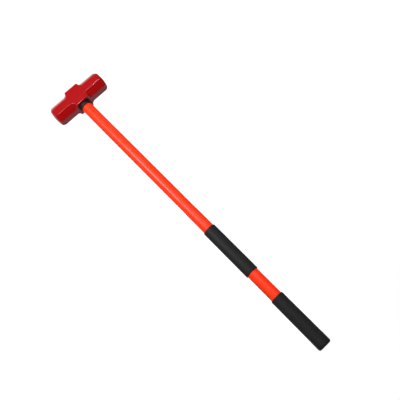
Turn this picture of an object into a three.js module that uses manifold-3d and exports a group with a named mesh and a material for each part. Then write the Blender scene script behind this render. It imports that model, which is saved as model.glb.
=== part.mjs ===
// Sledgehammer: a double-faced octagonal head on a jacketed glass-fibre handle.
// Millimetres. The head's crown lies on Z = 0 and the handle rises along +Z, centred on the origin.
// X runs from one striking face to the other, and Y from cheek to cheek.

import * as THREE from 'three';
import { mergeVertices } from 'three/addons/utils/BufferGeometryUtils.js';
import Module from 'manifold-3d';

const wasm = await Module();
wasm.setup();

// ---------------------------------------------------------------- driving dimensions

const OVERALL_LENGTH = 900;       // crown of the head to the butt

const HEAD_LENGTH = 163.5;        // middle of one crowned striking face to the middle of the other
const HEAD_ACROSS = 52.6;         // cheek to cheek, and crown to underside
const BOSS_LENGTH = 41.5;         // square middle, measured along its corners
const COVE_RADIUS = 9;            // scoop that runs each shank's chamfer out into the boss
const FACE_BEVEL_RUN = 7.4;       // bevel round a striking face, along the head
const FACE_BEVEL_DROP = 4;        // the same bevel, towards the head's axis
const FACE_CROWN_RADIUS = 80;     // ball that the striking faces are crowned to

const CORE_DIAMETER = 22.2;       // glass-fibre rod
const RESIN_WALL = 1.5;           // resin beside the rod at the eye's waist
const EYE_FLARE = 1.2;            // how much each side of the eye opens from waist to mouth
const EYE_OVAL = 1.12;            // the eye's length along the head over its width
const EYE_EDGE_BREAK = 0.6;       // chamfer on both mouths of the eye
const CROWN_RECESS = 1.2;         // rod and resin stop this far inside the crown
const SEAL_HEIGHT = 8;            // sealing ring in the eye's lower mouth

const JACKET_WALL = 3.4;          // plastic over the rod
const COLLAR_WALL = 3.1;          // rubber ring under the head
const COLLAR_HEIGHT = 8.5;
const COLLAR_EDGE_RADIUS = 1.5;

const GRIP_WALL = 1.8;            // rubber sleeves
const GRIP_LIP_RADIUS = 1.2;      // rounding of a sleeve's open end
const MIDDLE_GRIP_LENGTH = 145;
const GRIP_SPACING = 77;          // bare jacket between the two grips
const END_GRIP_LENGTH = 147.5;
const BUTT_WALL = 7;              // rubber that closes the end grip
const BUTT_SWELL = 0.25;          // extra wall at the butt end of the end grip
const BUTT_EDGE_RADIUS = 5;

const BOND_GAP = 0.3;             // glue line or slip fit between neighbouring pieces

// ---------------------------------------------------------------- sizes that follow

const HEAD_RADIUS = HEAD_ACROSS / 2;
const CORE_RADIUS = CORE_DIAMETER / 2;
const EYE_WAIST_RADIUS = CORE_RADIUS + BOND_GAP + RESIN_WALL + BOND_GAP;
const JACKET_BORE_RADIUS = CORE_RADIUS + BOND_GAP;
const JACKET_RADIUS = JACKET_BORE_RADIUS + JACKET_WALL;
const SLEEVE_BORE_RADIUS = JACKET_RADIUS + BOND_GAP;
const GRIP_RADIUS = SLEEVE_BORE_RADIUS + GRIP_WALL;

const HANDLE_START = HEAD_ACROSS + BOND_GAP;
const END_GRIP_START = OVERALL_LENGTH - END_GRIP_LENGTH;
const MIDDLE_GRIP_START = END_GRIP_START - GRIP_SPACING - MIDDLE_GRIP_LENGTH;
const GRIP_BORE_END = OVERALL_LENGTH - BUTT_WALL;
const HANDLE_END = GRIP_BORE_END - BOND_GAP;
const SEAL_START = HEAD_ACROSS - SEAL_HEIGHT;

const ROUND_STEPS = 48;           // facets round the handle and the eye
const EYE_RINGS = 6;              // rings from one mouth of the eye to the other
const CORNER_STEPS = 4;           // facets across a rounded edge
const COVE_STEPS = 12;            // facets across a scoop
const CROWN_STEPS = 12;           // facets from the middle of a crowned face past its edge
const SHANK_SIDES = 8;            // flats round a shank
const WELD_DISTANCE = 1e-4;       // corners of a mesh closer than this are one corner

// ---------------------------------------------------------------- helpers

// A closed mesh as a solid that can be joined and cut.
function toSolid(geometry) {
  geometry.deleteAttribute('normal');
  geometry.deleteAttribute('uv');
  const merged = mergeVertices(geometry, WELD_DISTANCE);
  return new wasm.Manifold(new wasm.Mesh({
    numProp: 3,
    vertProperties: merged.attributes.position.array,
    triVerts: Uint32Array.from(merged.index.array),
  }));
}

// A solid's surface as a geometry again.
function toGeometry(solid) {
  const { vertProperties, triVerts } = solid.getMesh();
  const geometry = new THREE.BufferGeometry();
  geometry.setAttribute('position', new THREE.BufferAttribute(vertProperties, 3));
  geometry.setIndex(new THREE.BufferAttribute(triVerts, 1));
  geometry.computeVertexNormals();
  return geometry;
}

// A path of [radius, height] points turned about the Z axis.
function turned(points, steps = ROUND_STEPS) {
  const profile = points.map(([radius, height]) => new THREE.Vector2(radius, height));
  return new THREE.LatheGeometry(profile, steps).rotateX(Math.PI / 2);
}

// Points of a quarter-round edge about a centre, from one angle to the next.
function roundedEdge(centreRadius, centreHeight, edgeRadius, fromAngle, toAngle) {
  const points = [];
  for (let step = 0; step <= CORNER_STEPS; step += 1) {
    const angle = fromAngle + (toAngle - fromAngle) * step / CORNER_STEPS;
    points.push([
      centreRadius + edgeRadius * Math.cos(angle),
      centreHeight + edgeRadius * Math.sin(angle),
    ]);
  }
  return points;
}

// A ring between two heights, with both of its outer edges rounded.
function roundedRing(boreRadius, outerRadius, start, end, edgeRadius) {
  const edgeCentre = outerRadius - edgeRadius;
  return turned([
    [boreRadius, start],
    ...roundedEdge(edgeCentre, start + edgeRadius, edgeRadius, -Math.PI / 2, 0),
    ...roundedEdge(edgeCentre, end - edgeRadius, edgeRadius, 0, Math.PI / 2),
    [boreRadius, end],
    [boreRadius, start],
  ]);
}

// Half the eye's width at a height: narrowest halfway, flaring to both mouths.
function eyeRadius(height) {
  const fromWaist = (height - HEAD_RADIUS) / HEAD_RADIUS;
  return EYE_WAIST_RADIUS + EYE_FLARE * fromWaist ** 2;
}

// The eye's wall between two heights, as [radius, height] points, drawn in by a gap.
function eyeWall(start, end, gap) {
  const points = [];
  for (let ring = 0; ring <= EYE_RINGS; ring += 1) {
    const height = start + (end - start) * ring / EYE_RINGS;
    points.push([eyeRadius(height) - gap, height]);
  }
  return points;
}

// A turned shape stretched along the head, as the eye is.
function ovalTurned(points) {
  return turned(points).scale(EYE_OVAL, 1, 1);
}

// ---------------------------------------------------------------- the head

// Everything that a shank's chamfer takes off one corner of the square bar, ending in a scoop at the boss.
function chamferCutter() {
  const past = HEAD_LENGTH;
  const coveEnd = BOSS_LENGTH / 2 + COVE_RADIUS;
  const outline = new THREE.Shape();
  outline.moveTo(coveEnd, 0);
  outline.lineTo(past, 0);
  outline.lineTo(past, past);
  outline.lineTo(BOSS_LENGTH / 2, past);
  outline.lineTo(BOSS_LENGTH / 2, COVE_RADIUS);
  outline.absarc(coveEnd, COVE_RADIUS, COVE_RADIUS, Math.PI, 1.5 * Math.PI, false);
  const cutter = new THREE.ExtrudeGeometry(outline, {
    depth: HEAD_ACROSS,
    bevelEnabled: false,
    curveSegments: COVE_STEPS,
  });
  return cutter.translate(0, HEAD_RADIUS, -HEAD_ACROSS / 2);
}

// A profile of [radius, distance along X] points for one end, made into a shape with two such ends.
function doubleEnded(endProfile, steps) {
  const otherEnd = endProfile.map(([radius, along]) => [radius, -along]).reverse();
  return turned([...otherEnd, ...endProfile], steps);
}

// An eight-sided bar along X whose tapered ends give the bevels round both striking faces.
function bevelledBar() {
  const halfSide = Math.PI / SHANK_SIDES;
  const cornerOverFlat = 1 / Math.cos(halfSide);
  const slope = FACE_BEVEL_DROP / FACE_BEVEL_RUN;
  const faceEdge = HEAD_RADIUS - FACE_BEVEL_DROP;
  const crownRise = FACE_CROWN_RADIUS - Math.sqrt(FACE_CROWN_RADIUS ** 2 - faceEdge ** 2);
  const end = HEAD_LENGTH / 2;
  const tipRadius = (faceEdge - crownRise * slope) * cornerOverFlat;
  const barRadius = HEAD_ACROSS * cornerOverFlat;
  const taper = (barRadius - tipRadius) / cornerOverFlat / slope;
  const bar = doubleEnded([[barRadius, end - taper], [tipRadius, end], [0, end]], SHANK_SIDES);
  return bar.rotateZ(halfSide).rotateY(Math.PI / 2);
}

// A round bar along X, wider than the head, whose ends are the balls that crown the striking faces.
function crownedBar() {
  const ballCentre = HEAD_LENGTH / 2 - FACE_CROWN_RADIUS;
  const widest = Math.asin(HEAD_ACROSS / FACE_CROWN_RADIUS);
  const ball = [];
  for (let step = CROWN_STEPS; step >= 0; step -= 1) {
    const angle = widest * step / CROWN_STEPS;
    ball.push([FACE_CROWN_RADIUS * Math.sin(angle), ballCentre + FACE_CROWN_RADIUS * Math.cos(angle)]);
  }
  return doubleEnded(ball, ROUND_STEPS).rotateY(Math.PI / 2);
}

// The drift-punched eye, a little longer than the head is deep, with its mouths' edges broken.
function eyeCutter() {
  const past = EYE_EDGE_BREAK;
  const mouthRadius = eyeRadius(0);
  return ovalTurned([
    [0, -past],
    [mouthRadius + EYE_EDGE_BREAK + past, -past],
    ...eyeWall(EYE_EDGE_BREAK, HEAD_ACROSS - EYE_EDGE_BREAK, 0),
    [mouthRadius + EYE_EDGE_BREAK + past, HEAD_ACROSS + past],
    [0, HEAD_ACROSS + past],
  ]);
}

function headGeometry() {
  let head = toSolid(new THREE.BoxGeometry(HEAD_LENGTH, HEAD_ACROSS, HEAD_ACROSS));
  for (const endTurn of [0, Math.PI]) {
    for (const cornerTurn of [45, 135, 225, 315]) {
      const cutter = chamferCutter().rotateY(endTurn).rotateX(THREE.MathUtils.degToRad(cornerTurn));
      head = head.subtract(toSolid(cutter));
    }
  }
  head = head.intersect(toSolid(bevelledBar())).intersect(toSolid(crownedBar()));
  return toGeometry(head.translate([0, 0, HEAD_RADIUS]).subtract(toSolid(eyeCutter())));
}

// ---------------------------------------------------------------- inside the eye

// A plug that fills the eye between two heights, with room for the rod through it.
function eyeFilling(start, end) {
  return ovalTurned([[0, start], ...eyeWall(start, end, BOND_GAP), [0, end]]);
}

function boredForCore(filling) {
  const bore = turned([
    [0, -OVERALL_LENGTH],
    [CORE_RADIUS + BOND_GAP, -OVERALL_LENGTH],
    [CORE_RADIUS + BOND_GAP, OVERALL_LENGTH],
    [0, OVERALL_LENGTH],
  ]);
  return toGeometry(toSolid(filling).subtract(toSolid(bore)));
}

function resinGeometry() {
  return boredForCore(eyeFilling(CROWN_RECESS, SEAL_START - BOND_GAP));
}

function sealGeometry() {
  return boredForCore(eyeFilling(SEAL_START, HANDLE_START - BOND_GAP));
}

// ---------------------------------------------------------------- the handle

function coreGeometry() {
  return turned([
    [0, CROWN_RECESS],
    [CORE_RADIUS, CROWN_RECESS],
    [CORE_RADIUS, HANDLE_END],
    [0, HANDLE_END],
  ]);
}

function jacketGeometry() {
  return turned([
    [JACKET_BORE_RADIUS, HANDLE_START],
    [JACKET_RADIUS, HANDLE_START],
    [JACKET_RADIUS, HANDLE_END],
    [JACKET_BORE_RADIUS, HANDLE_END],
    [JACKET_BORE_RADIUS, HANDLE_START],
  ]);
}

function collarGeometry() {
  const outerRadius = SLEEVE_BORE_RADIUS + COLLAR_WALL;
  const end = HANDLE_START + COLLAR_HEIGHT;
  return roundedRing(SLEEVE_BORE_RADIUS, outerRadius, HANDLE_START, end, COLLAR_EDGE_RADIUS);
}

function middleGripGeometry() {
  const end = MIDDLE_GRIP_START + MIDDLE_GRIP_LENGTH;
  return roundedRing(SLEEVE_BORE_RADIUS, GRIP_RADIUS, MIDDLE_GRIP_START, end, GRIP_LIP_RADIUS);
}

// A cup over the end of the handle, open towards the head.
function endGripGeometry() {
  const buttRadius = GRIP_RADIUS + BUTT_SWELL;
  const lipCentre = GRIP_RADIUS - GRIP_LIP_RADIUS;
  const buttCentre = buttRadius - BUTT_EDGE_RADIUS;
  return turned([
    [0, GRIP_BORE_END],
    [SLEEVE_BORE_RADIUS, GRIP_BORE_END],
    [SLEEVE_BORE_RADIUS, END_GRIP_START],
    ...roundedEdge(lipCentre, END_GRIP_START + GRIP_LIP_RADIUS, GRIP_LIP_RADIUS, -Math.PI / 2, 0),
    ...roundedEdge(buttCentre, OVERALL_LENGTH - BUTT_EDGE_RADIUS, BUTT_EDGE_RADIUS, 0, Math.PI / 2),
    [0, OVERALL_LENGTH],
  ]);
}

// ---------------------------------------------------------------- finishes and assembly

const redEnamel = new THREE.MeshStandardMaterial({ color: 0xc01c20, roughness: 0.25, metalness: 0.1 });
const orangePlastic = new THREE.MeshStandardMaterial({ color: 0xfc4418, roughness: 0.35, metalness: 0 });
const blackRubber = new THREE.MeshStandardMaterial({ color: 0x262628, roughness: 0.75, metalness: 0 });
const glassFibre = new THREE.MeshStandardMaterial({ color: 0xd8cf9e, roughness: 0.5, metalness: 0 });
const epoxy = new THREE.MeshStandardMaterial({ color: 0x4a4238, roughness: 0.3, metalness: 0 });

const pieces = [
  ['hammer_head', headGeometry, redEnamel],
  ['eye_resin', resinGeometry, epoxy],
  ['eye_seal', sealGeometry, blackRubber],
  ['fibre_core', coreGeometry, glassFibre],
  ['shock_collar', collarGeometry, blackRubber],
  ['handle_jacket', jacketGeometry, orangePlastic],
  ['middle_grip', middleGripGeometry, blackRubber],
  ['end_grip', endGripGeometry, blackRubber],
];

const sledgehammer = new THREE.Group();
for (const [name, makeGeometry, finish] of pieces) {
  const mesh = new THREE.Mesh(makeGeometry(), finish);
  mesh.name = name;
  sledgehammer.add(mesh);
}

export default sledgehammer;
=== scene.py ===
# Sledgehammer: how its red enamel, orange plastic and black rubber look.
# Metres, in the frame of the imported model: the head's crown lies on Z = 0 and the handle rises along +Z.

import math

import bmesh
import bpy
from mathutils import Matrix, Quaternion, Vector


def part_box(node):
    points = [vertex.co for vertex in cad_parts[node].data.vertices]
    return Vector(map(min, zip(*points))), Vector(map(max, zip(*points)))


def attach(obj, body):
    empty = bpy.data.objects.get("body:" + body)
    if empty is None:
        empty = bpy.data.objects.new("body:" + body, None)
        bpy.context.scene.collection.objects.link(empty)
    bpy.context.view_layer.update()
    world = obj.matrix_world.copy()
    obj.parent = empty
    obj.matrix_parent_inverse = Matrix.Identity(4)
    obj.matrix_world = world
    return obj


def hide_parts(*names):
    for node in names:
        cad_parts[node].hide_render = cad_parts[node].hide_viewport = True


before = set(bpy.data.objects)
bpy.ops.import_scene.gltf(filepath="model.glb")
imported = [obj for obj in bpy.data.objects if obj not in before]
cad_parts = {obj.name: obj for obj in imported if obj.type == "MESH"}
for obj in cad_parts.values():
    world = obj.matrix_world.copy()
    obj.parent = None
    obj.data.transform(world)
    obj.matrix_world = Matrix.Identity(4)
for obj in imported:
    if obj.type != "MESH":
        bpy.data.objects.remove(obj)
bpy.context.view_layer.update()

MM = 0.001

# ---------------------------------------------------------------- sizes, in millimetres

HEAD_VOXEL = 0.8           # finest shape that the forged skin keeps
HEAD_SOFTENING = 6         # smoothing passes, which leave edges about 1 mm round
FORGING_SCALE = 14.0       # distance between the hollows that the dies leave
FORGING_DEPTH = 0.12

FACETS_ROUND = 160         # facets round the handle's pieces
FACET = 360.0 / FACETS_ROUND
RUN_STEP = 5.0             # longest facet along the handle
ARC_STEPS = 6              # facets across a rounded lip

BOND_GAP = 0.3             # glue line or slip fit between neighbouring pieces
SHEATH_EDGE = 0.4
COLLAR_EDGE = 1.5
GRIP_LIP = 1.2
BUTT_EDGE = 5.0
BUTT_SWELL = 0.25
GATE_MARK = 6.0            # width of the round mark where rubber entered the mould
GATE_MARK_DEPTH = 0.5
GATE_MARK_SLOPE = 0.6

SKIN_DEPTH_SHEATH = 0.6    # how far in from its outside a piece still counts as skin
SKIN_DEPTH_GRIP = 0.5
PARTING_LINES = 2.0        # one on each side, where the halves of the mould met

DASH_LENGTH = 9.0          # plain printed dashes along the handle
DASH_PITCH = 13.0
DASH_WIDTH = 4.0
DASH_ANGLE = -24.0         # degrees round the handle from +X
INK_THICKNESS = 0.06

FLOOR_DROP = 0.5           # clear space under the crown, so that two surfaces don't share a plane

# ---------------------------------------------------------------- helpers


def linear(hex_colour):
    """A colour written as sRGB hex, as the linear colour that shaders take."""
    channels = []
    for start in (0, 2, 4):
        level = int(hex_colour[start:start + 2], 16) / 255
        channels.append(level / 12.92 if level <= 0.04045 else ((level + 0.055) / 1.055) ** 2.4)
    return (*channels, 1.0)


def add_node(tree, kind, settings=None, inputs=None):
    """Adds one node. An input takes a value, or the output socket that it is linked from."""
    node = tree.nodes.new(kind)
    for name, value in (settings or {}).items():
        setattr(node, name, value)
    for name, value in (inputs or {}).items():
        if isinstance(value, bpy.types.NodeSocket):
            tree.links.new(value, node.inputs[name])
        else:
            node.inputs[name].default_value = value
    return node


def empty_material(name):
    """A material with no nodes yet, and its tree."""
    material = bpy.data.materials.new(name)
    material.use_nodes = True
    material.node_tree.nodes.clear()
    return material, material.node_tree


def finish_material(tree, surface):
    add_node(tree, "ShaderNodeOutputMaterial", inputs={"Surface": surface.outputs[0]})


def object_from(name, mesh):
    obj = bpy.data.objects.new(name, mesh)
    bpy.context.scene.collection.objects.link(obj)
    return obj


# ---------------------------------------------------------------- finishes


def gloss_enamel():
    """Gloss alkyd enamel, dipped over a hammer-forged head: deep red, wet-looking, with a faint orange peel.
    Over the edges it is lighter: partly thinner enamel, partly a painted highlight for the edges' catch
    lights. It pools a little darker in random patches."""
    material, tree = empty_material("gloss_enamel_on_forging")
    place = add_node(tree, "ShaderNodeTexCoord").outputs["Object"]
    pooling = add_node(tree, "ShaderNodeTexNoise", inputs={
        "Vector": place, "Scale": 1 / (22 * MM), "Detail": 3.0, "Roughness": 0.55})
    pooled = add_node(tree, "ShaderNodeMix", {"data_type": "RGBA"}, {
        0: pooling.outputs[0], 6: linear("940607"), 7: linear("9E0708")})
    edges = add_node(tree, "ShaderNodeNewGeometry").outputs["Pointiness"]
    # Lighter colour over the edges: partly thinner enamel there, partly a painted highlight that stands in
    # for the edges' catch lights.
    thin_enamel_and_edge_highlight = add_node(tree, "ShaderNodeMapRange", inputs={
        "Value": edges, "From Min": 0.515, "From Max": 0.56, "To Min": 0.0, "To Max": 0.45})
    colour = add_node(tree, "ShaderNodeMix", {"data_type": "RGBA"}, {
        0: thin_enamel_and_edge_highlight.outputs[0], 6: pooled.outputs[2], 7: linear("C02A30")})
    gloss = add_node(tree, "ShaderNodeMapRange", inputs={
        "Value": pooling.outputs[0], "From Min": 0.3, "From Max": 0.7, "To Min": 0.12, "To Max": 0.18})
    peel = add_node(tree, "ShaderNodeTexNoise", inputs={
        "Vector": place, "Scale": 1 / (2.4 * MM), "Detail": 1.0})
    scale = add_node(tree, "ShaderNodeTexNoise", inputs={
        "Vector": place, "Scale": 1 / (7.0 * MM), "Detail": 4.0, "Roughness": 0.6})
    scale_bump = add_node(tree, "ShaderNodeBump", inputs={
        "Height": scale.outputs[0], "Strength": 0.35, "Distance": 0.10 * MM})
    peel_bump = add_node(tree, "ShaderNodeBump", inputs={
        "Height": peel.outputs[0], "Strength": 0.3, "Distance": 0.03 * MM,
        "Normal": scale_bump.outputs[0]})
    shader = add_node(tree, "ShaderNodeBsdfPrincipled", inputs={
        "Base Color": colour.outputs[2], "Roughness": gloss.outputs[0], "IOR": 1.52,
        "Specular Tint": linear("FAEBFF"), "Normal": peel_bump.outputs[0]})
    finish_material(tree, shader)
    return material


def moulded_polypropylene():
    """Polypropylene, moulded over the rod: strong orange with a soft, broad sheen.
    Flow in the mould leaves faint lengthwise streaks, and handling leaves patches a little duller."""
    material, tree = empty_material("moulded_polypropylene")
    place = add_node(tree, "ShaderNodeTexCoord").outputs["Object"]
    drawn_out = add_node(tree, "ShaderNodeMapping", inputs={"Vector": place, "Scale": (1.0, 1.0, 0.04)})
    streaks = add_node(tree, "ShaderNodeTexNoise", inputs={
        "Vector": drawn_out.outputs[0], "Scale": 1 / (3.0 * MM), "Detail": 2.0})
    patches = add_node(tree, "ShaderNodeTexNoise", inputs={
        "Vector": place, "Scale": 1 / (35 * MM), "Detail": 3.0})
    colour = add_node(tree, "ShaderNodeMix", {"data_type": "RGBA"}, {
        0: patches.outputs[0], 6: linear("FA3000"), 7: linear("FC3401")})
    gloss = add_node(tree, "ShaderNodeMapRange", inputs={
        "Value": patches.outputs[0], "From Min": 0.3, "From Max": 0.7, "To Min": 0.36, "To Max": 0.40})
    fine = add_node(tree, "ShaderNodeTexNoise", inputs={
        "Vector": place, "Scale": 1 / (0.9 * MM), "Detail": 2.0})
    streak_bump = add_node(tree, "ShaderNodeBump", inputs={
        "Height": streaks.outputs[0], "Strength": 0.1, "Distance": 0.02 * MM})
    fine_bump = add_node(tree, "ShaderNodeBump", inputs={
        "Height": fine.outputs[0], "Strength": 0.2, "Distance": 0.02 * MM,
        "Normal": streak_bump.outputs[0]})
    shader = add_node(tree, "ShaderNodeBsdfPrincipled", inputs={
        "Base Color": colour.outputs[2], "Roughness": gloss.outputs[0], "IOR": 1.49,
        "Normal": fine_bump.outputs[0]})
    finish_material(tree, shader)
    return material


def matt_rubber(name, dark, light, grain, roughness):
    """Carbon-filled rubber, moulded in a blasted tool: near black and matt, with a fine leathery grain.
    The sleeves stretch over the handle, which draws the shine out lengthwise. The grain is drawn several
    times coarser than it really is, so that it shows."""
    material, tree = empty_material(name)
    place = add_node(tree, "ShaderNodeTexCoord").outputs["Object"]
    drawn_out = add_node(tree, "ShaderNodeMapping", inputs={"Vector": place, "Scale": (1.0, 1.0, 0.25)})
    unevenness = add_node(tree, "ShaderNodeTexNoise", inputs={
        "Vector": drawn_out.outputs[0], "Scale": 1 / (9 * MM), "Detail": 3.0, "Roughness": 0.5})
    pores = add_node(tree, "ShaderNodeTexNoise", inputs={
        "Vector": place, "Scale": 1 / (grain * MM), "Detail": 2.0, "Roughness": 0.6})
    colour = add_node(tree, "ShaderNodeMix", {"data_type": "RGBA"}, {
        0: unevenness.outputs[0], 6: linear(dark), 7: linear(light)})
    matt = add_node(tree, "ShaderNodeMapRange", inputs={
        "Value": unevenness.outputs[0], "From Min": 0.3, "From Max": 0.7,
        "To Min": roughness - 0.05, "To Max": roughness + 0.07})
    swell_bump = add_node(tree, "ShaderNodeBump", inputs={
        "Height": unevenness.outputs[0], "Strength": 0.3, "Distance": 0.3 * MM})
    grain_bump = add_node(tree, "ShaderNodeBump", inputs={
        "Height": pores.outputs[0], "Strength": 0.4, "Distance": 0.06 * MM,
        "Normal": swell_bump.outputs[0]})
    shader = add_node(tree, "ShaderNodeBsdfPrincipled", inputs={
        "Base Color": colour.outputs[2], "Roughness": matt.outputs[0], "IOR": 1.46,
        "Normal": grain_bump.outputs[0]})
    finish_material(tree, shader)
    return material


def cast_epoxy():
    """Cast epoxy, poured round the rod: dark amber and glossy, clouded by filler and a few bubbles."""
    material, tree = empty_material("cast_epoxy")
    place = add_node(tree, "ShaderNodeTexCoord").outputs["Object"]
    cloud = add_node(tree, "ShaderNodeTexNoise", inputs={
        "Vector": place, "Scale": 1 / (4 * MM), "Detail": 3.0})
    bubbles = add_node(tree, "ShaderNodeTexVoronoi", inputs={"Vector": place, "Scale": 1 / (1.6 * MM)})
    colour = add_node(tree, "ShaderNodeMix", {"data_type": "RGBA"}, {
        0: cloud.outputs[0], 6: linear("2E261C"), 7: linear("54452F")})
    bump = add_node(tree, "ShaderNodeBump", inputs={
        "Height": bubbles.outputs[0], "Strength": 0.4, "Distance": 0.1 * MM})
    shader = add_node(tree, "ShaderNodeBsdfPrincipled", inputs={
        "Base Color": colour.outputs[2], "Roughness": 0.22, "IOR": 1.55, "Normal": bump.outputs[0]})
    finish_material(tree, shader)
    return material


def sawn_glass_fibre():
    """Pultruded glass fibre in polyester, sawn square: pale straw, satin, with its strands' ends as specks.
    The specks are drawn at 0.8 mm, much coarser than real strands, so that they show."""
    material, tree = empty_material("sawn_glass_fibre")
    place = add_node(tree, "ShaderNodeTexCoord").outputs["Object"]
    along = add_node(tree, "ShaderNodeMapping", inputs={"Vector": place, "Scale": (1.0, 1.0, 0.02)})
    strands = add_node(tree, "ShaderNodeTexVoronoi", inputs={
        "Vector": along.outputs[0], "Scale": 1 / (0.8 * MM)})
    colour = add_node(tree, "ShaderNodeMix", {"data_type": "RGBA"}, {
        0: strands.outputs[0], 6: linear("E2D8A6"), 7: linear("A8965C")})
    bump = add_node(tree, "ShaderNodeBump", inputs={
        "Height": strands.outputs[0], "Strength": 0.5, "Distance": 0.05 * MM})
    shader = add_node(tree, "ShaderNodeBsdfPrincipled", inputs={
        "Base Color": colour.outputs[2], "Roughness": 0.5, "IOR": 1.55, "Normal": bump.outputs[0]})
    finish_material(tree, shader)
    return material


def printing_ink():
    """Pad-printing ink: dark, matt and thin, so that the orange shows through where it printed unevenly."""
    material, tree = empty_material("pad_printing_ink")
    place = add_node(tree, "ShaderNodeTexCoord").outputs["Object"]
    cover = add_node(tree, "ShaderNodeTexNoise", inputs={
        "Vector": place, "Scale": 1 / (1.5 * MM), "Detail": 2.0})
    colour = add_node(tree, "ShaderNodeMix", {"data_type": "RGBA"}, {
        0: cover.outputs[0], 6: linear("581A18"), 7: linear("A83220")})
    shader = add_node(tree, "ShaderNodeBsdfPrincipled", inputs={
        "Base Color": colour.outputs[2], "Roughness": 0.6, "IOR": 1.5})
    finish_material(tree, shader)
    return material


def studio_paper():
    """Seamless white studio paper, burnt out to pure white, so that shadows on it all but vanish."""
    material, tree = empty_material("studio_paper")
    seen = add_node(tree, "ShaderNodeLightPath").outputs["Is Camera Ray"]
    shader = add_node(tree, "ShaderNodeBsdfPrincipled", inputs={
        "Base Color": linear("E8E8E8"), "Roughness": 0.9,
        "Emission Color": linear("FFFFFF"), "Emission Strength": seen})
    finish_material(tree, shader)
    return material


# ---------------------------------------------------------------- rules for shapes, as Geometry Nodes


def geometry_tree(name, numbers):
    """A tree that takes geometry, these named numbers and a material, and its group input node."""
    tree = bpy.data.node_groups.new(name, "GeometryNodeTree")
    tree.interface.new_socket("Geometry", in_out="INPUT", socket_type="NodeSocketGeometry")
    for label, kind in numbers.items():
        tree.interface.new_socket(label, in_out="INPUT", socket_type="NodeSocket" + kind)
    tree.interface.new_socket("Material", in_out="INPUT", socket_type="NodeSocketMaterial")
    tree.interface.new_socket("Geometry", in_out="OUTPUT", socket_type="NodeSocketGeometry")
    return tree, add_node(tree, "NodeGroupInput").outputs


def end_tree(tree, geometry, material):
    """Closes a tree with the two nodes that every tree here ends in."""
    realized = add_node(tree, "GeometryNodeRealizeInstances", inputs={"Geometry": geometry})
    coloured = add_node(tree, "GeometryNodeSetMaterial", inputs={
        "Geometry": realized.outputs[0], "Material": material})
    add_node(tree, "NodeGroupOutput", inputs={"Geometry": coloured.outputs[0]})


def radial_shift(tree, amount):
    """A vector of that length, straight out from the handle's axis."""
    position = add_node(tree, "GeometryNodeInputPosition").outputs[0]
    flat = add_node(tree, "ShaderNodeVectorMath", {"operation": "MULTIPLY"}, {
        0: position, 1: (1.0, 1.0, 0.0)})
    outward = add_node(tree, "ShaderNodeVectorMath", {"operation": "NORMALIZE"}, {0: flat.outputs[0]})
    return add_node(tree, "ShaderNodeVectorMath", {"operation": "SCALE"}, {
        0: outward.outputs[0], "Scale": amount}).outputs[0]


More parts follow.
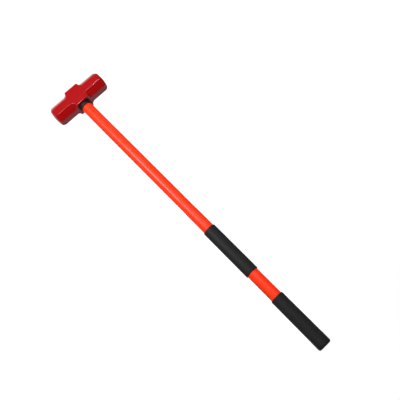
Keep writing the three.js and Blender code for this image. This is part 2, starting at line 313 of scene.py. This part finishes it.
def turned_tree():
    """Sweeps a wall's outline round the handle, and raises the mould's parting lines on its outside."""
    tree, given = geometry_tree("turned_and_parted", {
        "Bore Radius": "Float", "Facets": "Int", "Skin Radius": "Float", "Line Angle": "Float",
        "Line Count": "Float", "Line Height": "Float", "Line Width": "Float",
        "Unevenness": "Float", "Unevenness Size": "Float"})
    outline = add_node(tree, "GeometryNodeMeshToCurve", inputs={"Mesh": given["Geometry"]})
    circle = add_node(tree, "GeometryNodeCurvePrimitiveCircle", inputs={
        "Resolution": given["Facets"], "Radius": given["Bore Radius"]})
    swept = add_node(tree, "GeometryNodeCurveToMesh", inputs={
        "Curve": circle.outputs[0], "Profile Curve": outline.outputs[0]})
    closed = add_node(tree, "GeometryNodeMergeByDistance", inputs={
        "Geometry": swept.outputs[0], "Distance": 0.005 * MM})

    place = add_node(tree, "ShaderNodeSeparateXYZ", inputs={
        0: add_node(tree, "GeometryNodeInputPosition").outputs[0]}).outputs
    turn = add_node(tree, "ShaderNodeMath", {"operation": "ARCTAN2"}, {0: place["Y"], 1: place["X"]})
    from_line = add_node(tree, "ShaderNodeMath", {"operation": "SUBTRACT"}, {
        0: turn.outputs[0], 1: given["Line Angle"]})
    half_spacing = add_node(tree, "ShaderNodeMath", {"operation": "DIVIDE"}, {
        0: math.pi, 1: given["Line Count"]})
    other_half = add_node(tree, "ShaderNodeMath", {"operation": "MULTIPLY"}, {
        0: half_spacing.outputs[0], 1: -1.0})
    nearest = add_node(tree, "ShaderNodeMath", {"operation": "WRAP"}, {
        0: from_line.outputs[0], 1: half_spacing.outputs[0], 2: other_half.outputs[0]})
    arc = add_node(tree, "ShaderNodeMath", {"operation": "MULTIPLY"}, {
        0: nearest.outputs[0], 1: given["Skin Radius"]})
    widths = add_node(tree, "ShaderNodeMath", {"operation": "DIVIDE"}, {
        0: arc.outputs[0], 1: given["Line Width"]})
    squared = add_node(tree, "ShaderNodeMath", {"operation": "MULTIPLY"}, {
        0: widths.outputs[0], 1: widths.outputs[0]})
    fall = add_node(tree, "ShaderNodeMath", {"operation": "MULTIPLY"}, {0: squared.outputs[0], 1: -1.0})
    rise = add_node(tree, "ShaderNodeMath", {"operation": "EXPONENT"}, {0: fall.outputs[0]})
    line = add_node(tree, "ShaderNodeMath", {"operation": "MULTIPLY"}, {
        0: rise.outputs[0], 1: given["Line Height"]})

    per_size = add_node(tree, "ShaderNodeMath", {"operation": "DIVIDE"}, {
        0: 1.0, 1: given["Unevenness Size"]})
    noise = add_node(tree, "ShaderNodeTexNoise", inputs={"Scale": per_size.outputs[0], "Detail": 1.0})
    signed = add_node(tree, "ShaderNodeMath", {"operation": "SUBTRACT"}, {0: noise.outputs[0], 1: 0.5})
    uneven = add_node(tree, "ShaderNodeMath", {"operation": "MULTIPLY"}, {
        0: signed.outputs[0], 1: given["Unevenness"]})
    amount = add_node(tree, "ShaderNodeMath", {"operation": "ADD"}, {
        0: line.outputs[0], 1: uneven.outputs[0]})

    across = add_node(tree, "ShaderNodeCombineXYZ", inputs={0: place["X"], 1: place["Y"]})
    radius = add_node(tree, "ShaderNodeVectorMath", {"operation": "LENGTH"}, {0: across.outputs[0]})
    skin = add_node(tree, "ShaderNodeMath", {"operation": "GREATER_THAN"}, {
        0: radius.outputs["Value"], 1: given["Skin Radius"]})
    moved = add_node(tree, "GeometryNodeSetPosition", inputs={
        "Geometry": closed.outputs[0], "Selection": skin.outputs[0],
        "Offset": radial_shift(tree, amount.outputs[0])})
    smooth = add_node(tree, "GeometryNodeSetShadeSmooth", inputs={"Geometry": moved.outputs[0]})
    end_tree(tree, smooth.outputs[0], given["Material"])
    return tree


def forging_tree():
    """Moves a skin in and out by soft noise, as dies and scale leave a forging."""
    tree, given = geometry_tree("forged_skin", {"Depth": "Float", "Hollow Size": "Float"})
    per_size = add_node(tree, "ShaderNodeMath", {"operation": "DIVIDE"}, {
        0: 1.0, 1: given["Hollow Size"]})
    noise = add_node(tree, "ShaderNodeTexNoise", inputs={"Scale": per_size.outputs[0], "Detail": 2.0})
    inward = add_node(tree, "ShaderNodeMath", {"operation": "MULTIPLY"}, {0: noise.outputs[0], 1: -1.0})
    amount = add_node(tree, "ShaderNodeMath", {"operation": "MULTIPLY"}, {
        0: inward.outputs[0], 1: given["Depth"]})
    offset = add_node(tree, "ShaderNodeVectorMath", {"operation": "SCALE"}, {
        0: add_node(tree, "GeometryNodeInputNormal").outputs[0], "Scale": amount.outputs[0]})
    moved = add_node(tree, "GeometryNodeSetPosition", inputs={
        "Geometry": given["Geometry"], "Offset": offset.outputs[0]})
    smooth = add_node(tree, "GeometryNodeSetShadeSmooth", inputs={"Geometry": moved.outputs[0]})
    end_tree(tree, smooth.outputs[0], given["Material"])
    return tree


def dashes_tree():
    """Sets plain dashes a pitch apart in a row along the handle, and wraps them onto its skin."""
    tree, given = geometry_tree("printed_dashes", {
        "First Height": "Float", "Count": "Int", "Pitch": "Float", "Length": "Float", "Width": "Float",
        "Thickness": "Float", "Handle Radius": "Float", "Row Angle": "Float"})
    start = add_node(tree, "ShaderNodeCombineXYZ", inputs={2: given["First Height"]})
    step = add_node(tree, "ShaderNodeCombineXYZ", inputs={2: given["Pitch"]})
    row = add_node(tree, "GeometryNodeMeshLine", inputs={
        "Count": given["Count"], "Start Location": start.outputs[0], "Offset": step.outputs[0]})
    size = add_node(tree, "ShaderNodeCombineXYZ", inputs={
        0: given["Thickness"], 1: given["Width"], 2: given["Length"]})
    dash = add_node(tree, "GeometryNodeMeshCube", inputs={
        "Size": size.outputs[0], "Vertices X": 2, "Vertices Y": 9, "Vertices Z": 5})
    rough_length = add_node(tree, "FunctionNodeRandomValue", {"data_type": "FLOAT_VECTOR"}, {
        0: (1.0, 0.75, 0.55), 1: (1.0, 1.0, 1.05), "Seed": 4})
    placed = add_node(tree, "GeometryNodeInstanceOnPoints", inputs={
        "Points": row.outputs[0], "Instance": dash.outputs[0], "Scale": rough_length.outputs[0]})
    real = add_node(tree, "GeometryNodeRealizeInstances", inputs={"Geometry": placed.outputs[0]})
    place = add_node(tree, "ShaderNodeSeparateXYZ", inputs={
        0: add_node(tree, "GeometryNodeInputPosition").outputs[0]}).outputs
    radius = add_node(tree, "ShaderNodeMath", {"operation": "ADD"}, {
        0: place["X"], 1: given["Handle Radius"]})
    turned = add_node(tree, "ShaderNodeMath", {"operation": "DIVIDE"}, {
        0: place["Y"], 1: given["Handle Radius"]})
    angle = add_node(tree, "ShaderNodeMath", {"operation": "ADD"}, {
        0: turned.outputs[0], 1: given["Row Angle"]})
    cosine = add_node(tree, "ShaderNodeMath", {"operation": "COSINE"}, {0: angle.outputs[0]})
    sine = add_node(tree, "ShaderNodeMath", {"operation": "SINE"}, {0: angle.outputs[0]})
    x = add_node(tree, "ShaderNodeMath", {"operation": "MULTIPLY"}, {
        0: radius.outputs[0], 1: cosine.outputs[0]})
    y = add_node(tree, "ShaderNodeMath", {"operation": "MULTIPLY"}, {
        0: radius.outputs[0], 1: sine.outputs[0]})
    wrapped = add_node(tree, "ShaderNodeCombineXYZ", inputs={
        0: x.outputs[0], 1: y.outputs[0], 2: place["Z"]})
    moved = add_node(tree, "GeometryNodeSetPosition", inputs={
        "Geometry": real.outputs[0], "Position": wrapped.outputs[0]})
    end_tree(tree, moved.outputs[0], given["Material"])
    return tree


def run_tree(obj, tree, values):
    """Runs a Geometry Nodes tree on obj with these named values, and leaves the result as its plain mesh."""
    modifier = obj.modifiers.new(tree.name, "NODES")
    modifier.node_group = tree
    identifiers = {item.name: item.identifier for item in tree.interface.items_tree
                   if item.in_out == "INPUT"}
    for label, value in values.items():
        modifier[identifiers[label]] = value
    return plain_mesh(obj)


def plain_mesh(obj):
    """Applies obj's modifiers."""
    settled = obj.evaluated_get(bpy.context.evaluated_depsgraph_get())
    mesh = bpy.data.meshes.new_from_object(settled)
    obj.modifiers.clear()
    obj.data = mesh
    mesh.name = obj.name
    return obj


# ---------------------------------------------------------------- the head


def forged_head(enamel):
    """The CAD head with the soft edges and slightly uneven flats of a painted forging."""
    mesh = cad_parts["hammer_head"].data.copy()
    mesh.materials.clear()
    merged = bmesh.new()
    merged.from_mesh(mesh)
    bmesh.ops.remove_doubles(merged, verts=merged.verts, dist=0.001 * MM)
    merged.to_mesh(mesh)
    merged.free()
    head = object_from("forged_head", mesh)
    remesh = head.modifiers.new("even_skin", "REMESH")
    remesh.mode = "VOXEL"
    remesh.voxel_size = HEAD_VOXEL * MM
    soften = head.modifiers.new("soft_edges", "SMOOTH")
    soften.factor = 0.5
    soften.iterations = HEAD_SOFTENING
    plain_mesh(head)
    run_tree(head, forging_tree(), {
        "Depth": FORGING_DEPTH * MM, "Hollow Size": FORGING_SCALE * MM, "Material": enamel})
    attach(head, "root")
    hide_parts("hammer_head")


# ---------------------------------------------------------------- the handle


def arc(centre, radius, start, end):
    """Points on an arc, from one angle to the other in degrees, as (wall, height) pairs."""
    points = []
    for step in range(ARC_STEPS + 1):
        angle = math.radians(start + (end - start) * step / ARC_STEPS)
        points.append((centre[0] + radius * math.cos(angle), centre[1] + radius * math.sin(angle)))
    return points


def run(start, end):
    """Points between two points, without them, no more than a facet's length apart."""
    steps = max(1, math.ceil(math.dist(start, end) / RUN_STEP))
    return [(start[0] + (end[0] - start[0]) * step / steps,
             start[1] + (end[1] - start[1]) * step / steps) for step in range(1, steps)]


def ring_outline(wall, start, end, edge):
    """Outline of a sleeve's wall: along the bore, and back over two rounded lips."""
    first = arc((wall - edge, end - edge), edge, 90, 0)
    second = arc((wall - edge, start + edge), edge, 0, -90)
    return [(0, start), (0, end), *first, *run(first[-1], second[0]), *second]


def cup_outline(bore, wall, start, floor, end):
    """Outline of the end grip's wall, from the middle of its floor round to the middle of its butt."""
    lip = arc((wall - GRIP_LIP, start + GRIP_LIP), GRIP_LIP, -90, 0)
    edge = arc((wall + BUTT_SWELL - BUTT_EDGE, end - BUTT_EDGE), BUTT_EDGE, 0, 90)
    mark = GATE_MARK / 2 - bore
    dimple = [(mark + GATE_MARK_SLOPE, end), (mark, end - GATE_MARK_DEPTH), (-bore, end - GATE_MARK_DEPTH)]
    return [(-bore, floor), (0, floor), (0, start), *lip, *run(lip[-1], edge[0]), *edge, *dimple]


def turned_piece(name, outline, closed, values, node):
    """A piece of the handle: an outline in millimetres from its bore, swept round by the turned tree."""
    mesh = bpy.data.meshes.new(name)
    points = [(wall * MM, -height * MM, 0.0) for wall, height in outline]    # swept, its Y points down
    edges = [(index, index + 1) for index in range(len(points) - 1)]
    if closed:
        edges.append((len(points) - 1, 0))
    mesh.from_pydata(points, edges, [])
    piece = run_tree(object_from(name, mesh), turned, {"Facets": FACETS_ROUND, **values})
    shape = bmesh.new()
    shape.from_mesh(piece.data)
    bmesh.ops.recalc_face_normals(shape, faces=shape.faces)
    shape.to_mesh(piece.data)
    shape.free()
    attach(piece, "root")
    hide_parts(node)
    return piece


def measured(node):
    """A round CAD node's outer radius, lowest and highest height, in millimetres."""
    low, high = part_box(node)
    return high.y / MM, low.z / MM, high.z / MM


# ---------------------------------------------------------------- the pieces

enamel = gloss_enamel()
plastic = moulded_polypropylene()
grip = matt_rubber("matt_grip_rubber", "131313", "1E1E1F", 0.9, 0.6)
collar = matt_rubber("satin_collar_rubber", "0B0D0C", "161817", 1.2, 0.45)
cord = matt_rubber("sealing_cord_rubber", "141414", "202020", 0.8, 0.7)

for node, finish in (("eye_resin", cast_epoxy()), ("eye_seal", cord), ("fibre_core", sawn_glass_fibre())):
    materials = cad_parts[node].data.materials
    materials.clear()
    materials.append(finish)

forged_head(enamel)

turned = turned_tree()
sheath_radius, sheath_start, sheath_end = measured("handle_jacket")
core_radius = measured("fibre_core")[0]
sheath_bore = core_radius + BOND_GAP
sleeve_bore = sheath_radius + BOND_GAP

sheath_wall = sheath_radius - sheath_bore
sheath_outline = ring_outline(sheath_wall, sheath_start, sheath_end, SHEATH_EDGE)
turned_piece("orange_sheath", sheath_outline, True, {
    "Bore Radius": sheath_bore * MM, "Skin Radius": (sheath_radius - SKIN_DEPTH_SHEATH) * MM,
    "Line Angle": 0.0, "Line Count": PARTING_LINES, "Line Height": 0.12 * MM, "Line Width": 0.6 * MM,
    "Unevenness": 0.05 * MM, "Unevenness Size": 60 * MM, "Material": plastic,
}, "handle_jacket")

radius, start, end = measured("shock_collar")
collar_outline = ring_outline(radius - sleeve_bore, start, end, COLLAR_EDGE)
turned_piece("moulded_collar", collar_outline, True, {
    "Bore Radius": sleeve_bore * MM, "Skin Radius": (radius - COLLAR_EDGE) * MM,
    "Line Angle": 0.0, "Line Count": PARTING_LINES, "Line Height": 0.0, "Line Width": 0.6 * MM,
    "Unevenness": 0.25 * MM, "Unevenness Size": 8 * MM, "Material": collar,
}, "shock_collar")

grip_radius, start, end = measured("middle_grip")
grip_wall = grip_radius - sleeve_bore
sleeve = {
    "Bore Radius": sleeve_bore * MM, "Skin Radius": (grip_radius - SKIN_DEPTH_GRIP) * MM,
    "Line Angle": 0.0, "Line Count": PARTING_LINES, "Line Height": 0.15 * MM, "Line Width": 0.8 * MM,
    "Unevenness": 0.18 * MM, "Unevenness Size": 18 * MM, "Material": grip,
}
middle_outline = ring_outline(grip_wall, start, end, GRIP_LIP)
turned_piece("middle_grip_sleeve", middle_outline, True, sleeve, "middle_grip")

_, start, end = measured("end_grip")
end_outline = cup_outline(sleeve_bore, grip_wall, start, sheath_end + BOND_GAP, end)
end_sleeve = {**sleeve, "Line Angle": math.radians(5 * FACET)}    # its halves met a little further round
turned_piece("end_grip_sleeve", end_outline, False, end_sleeve, "end_grip")

dashes = dashes_tree()
ink = printing_ink()
for name, first, count in (("printed_row_long", 95.0, 15), ("printed_row_short", 688.0, 5)):
    row = run_tree(object_from(name, bpy.data.meshes.new(name)), dashes, {
        "First Height": first * MM, "Count": count, "Pitch": DASH_PITCH * MM, "Length": DASH_LENGTH * MM,
        "Width": DASH_WIDTH * MM, "Thickness": INK_THICKNESS * MM,
        "Handle Radius": (sheath_radius + INK_THICKNESS / 4) * MM,
        "Row Angle": math.radians(DASH_ANGLE), "Material": ink})
    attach(row, "root")

# ---------------------------------------------------------------- floor, light and camera


def aimed(back, turn):
    """A rotation that looks against back, turned round the line of sight by degrees."""
    return back.to_track_quat("Z", "Y") @ Quaternion((0, 0, 1), math.radians(turn))


def add_floor(half_width):
    mesh = bpy.data.meshes.new("studio_floor")
    corners = [(-1, -1), (1, -1), (1, 1), (-1, 1)]
    points = [(x * half_width, y * half_width, -FLOOR_DROP * MM) for x, y in corners]
    mesh.from_pydata(points, [], [(0, 1, 2, 3)])
    mesh.materials.append(studio_paper())
    floor = object_from("studio_floor", mesh)
    floor.visible_glossy = False
    floor.visible_shadow = False


def add_softbox(name, centre, target, width, height, power, in_gloss=True, in_colour=True, beam=180.0):
    """A soft light at a place, with its face towards a target. It may be kept out of glossy reflections or
    out of matt colour, and its beam may be narrowed to an angle in degrees."""
    light = bpy.data.lights.new(name, "AREA")
    light.shape = "RECTANGLE"
    light.size = width
    light.size_y = height
    light.energy = power
    light.spread = math.radians(beam)
    obj = object_from(name, light)
    obj.location = centre
    obj.rotation_mode = "QUATERNION"
    obj.rotation_quaternion = aimed((Vector(centre) - Vector(target)).normalized(), 0)
    obj.visible_camera = False
    obj.visible_glossy = in_gloss
    obj.visible_diffuse = in_colour


def add_surroundings():
    """White to look at. As light, bright from behind and below, dim in front, and dark at the sides."""
    world = bpy.data.worlds.new("studio")
    world.use_nodes = True
    tree = world.node_tree
    tree.nodes.clear()
    toward = add_node(tree, "ShaderNodeSeparateXYZ", inputs={
        0: add_node(tree, "ShaderNodeTexCoord").outputs["Generated"]}).outputs
    fore_and_aft = add_node(tree, "ShaderNodeMath", {"operation": "MULTIPLY_ADD"}, {
        0: toward["Y"], 1: 0.33, 2: 0.40})
    upright = add_node(tree, "ShaderNodeMath", {"operation": "MULTIPLY_ADD"}, {
        0: toward["Z"], 1: -0.20, 2: fore_and_aft.outputs[0]})
    sideways = add_node(tree, "ShaderNodeMath", {"operation": "MULTIPLY"}, {
        0: toward["X"], 1: toward["X"]})
    flags = add_node(tree, "ShaderNodeMath", {"operation": "MULTIPLY_ADD"}, {
        0: sideways.outputs[0], 1: -0.75, 2: 1.0})
    level = add_node(tree, "ShaderNodeMath", {"operation": "MULTIPLY", "use_clamp": True}, {
        0: upright.outputs[0], 1: flags.outputs[0]})
    seen = add_node(tree, "ShaderNodeLightPath").outputs["Is Camera Ray"]
    strength = add_node(tree, "ShaderNodeMath", {"operation": "MAXIMUM"}, {
        0: level.outputs[0], 1: seen})
    light = add_node(tree, "ShaderNodeBackground", inputs={
        "Color": linear("FFFFFF"), "Strength": strength.outputs[0]})
    add_node(tree, "ShaderNodeOutputWorld", inputs={"Surface": light.outputs[0]})
    bpy.context.scene.world = world


def add_camera(aim, azimuth, elevation, turn, distance, lens):
    """Angles in degrees: azimuth 0 looks along +Y, and turn is about the line of sight."""
    side = math.radians(azimuth)
    rise = math.radians(elevation)
    back = Vector((math.sin(side) * math.cos(rise), -math.cos(side) * math.cos(rise), math.sin(rise)))
    data = bpy.data.cameras.new("camera")
    data.lens = lens
    data.sensor_width = 36.0
    data.clip_start = 0.05
    data.clip_end = 200.0
    camera = object_from("camera", data)
    camera.rotation_mode = "QUATERNION"
    camera.location = aim + back * distance
    camera.rotation_quaternion = aimed(back, turn)
    bpy.context.scene.camera = camera


# The key, fill and back lights colour the hammer without a highlight, and the glint is a highlight only.
add_floor(60.0)
add_softbox("soft_key", (-0.18, -1.3, 0.08), (0.0, 0.0, 0.45), 1.3, 0.9, 19.5, in_gloss=False)
add_softbox("soft_back", (0.1, 1.4, 0.4), (0.0, 0.0, 0.4), 1.3, 1.0, 9.0, in_gloss=False)
add_softbox("bright_window", (0.54, -1.02, -0.13), (0.0, 0.0, 0.33), 0.16, 0.12, 7.0)
add_softbox("side_fill", (1.1, -0.55, -0.2), (0.0, 0.0, 0.3), 0.6, 0.5, 5.0, in_gloss=False)
add_softbox("long_strip", (-0.3, -1.22, 0.5), (0.0, 0.0, 0.6), 0.34, 1.0, 1.1)
add_softbox("edge_glint", (-0.18, -1.25, 0.22), (0.0, 0.0, 0.03), 0.36, 0.06, 0.30,
            in_colour=False, beam=30.0)
add_surroundings()
add_camera(aim=Vector((-0.0346, 0.0, 0.4613)), azimuth=8.36, elevation=18.32, turn=134.59,
           distance=1.3678, lens=51.06)
bpy.context.scene.view_settings.view_transform = "Standard"
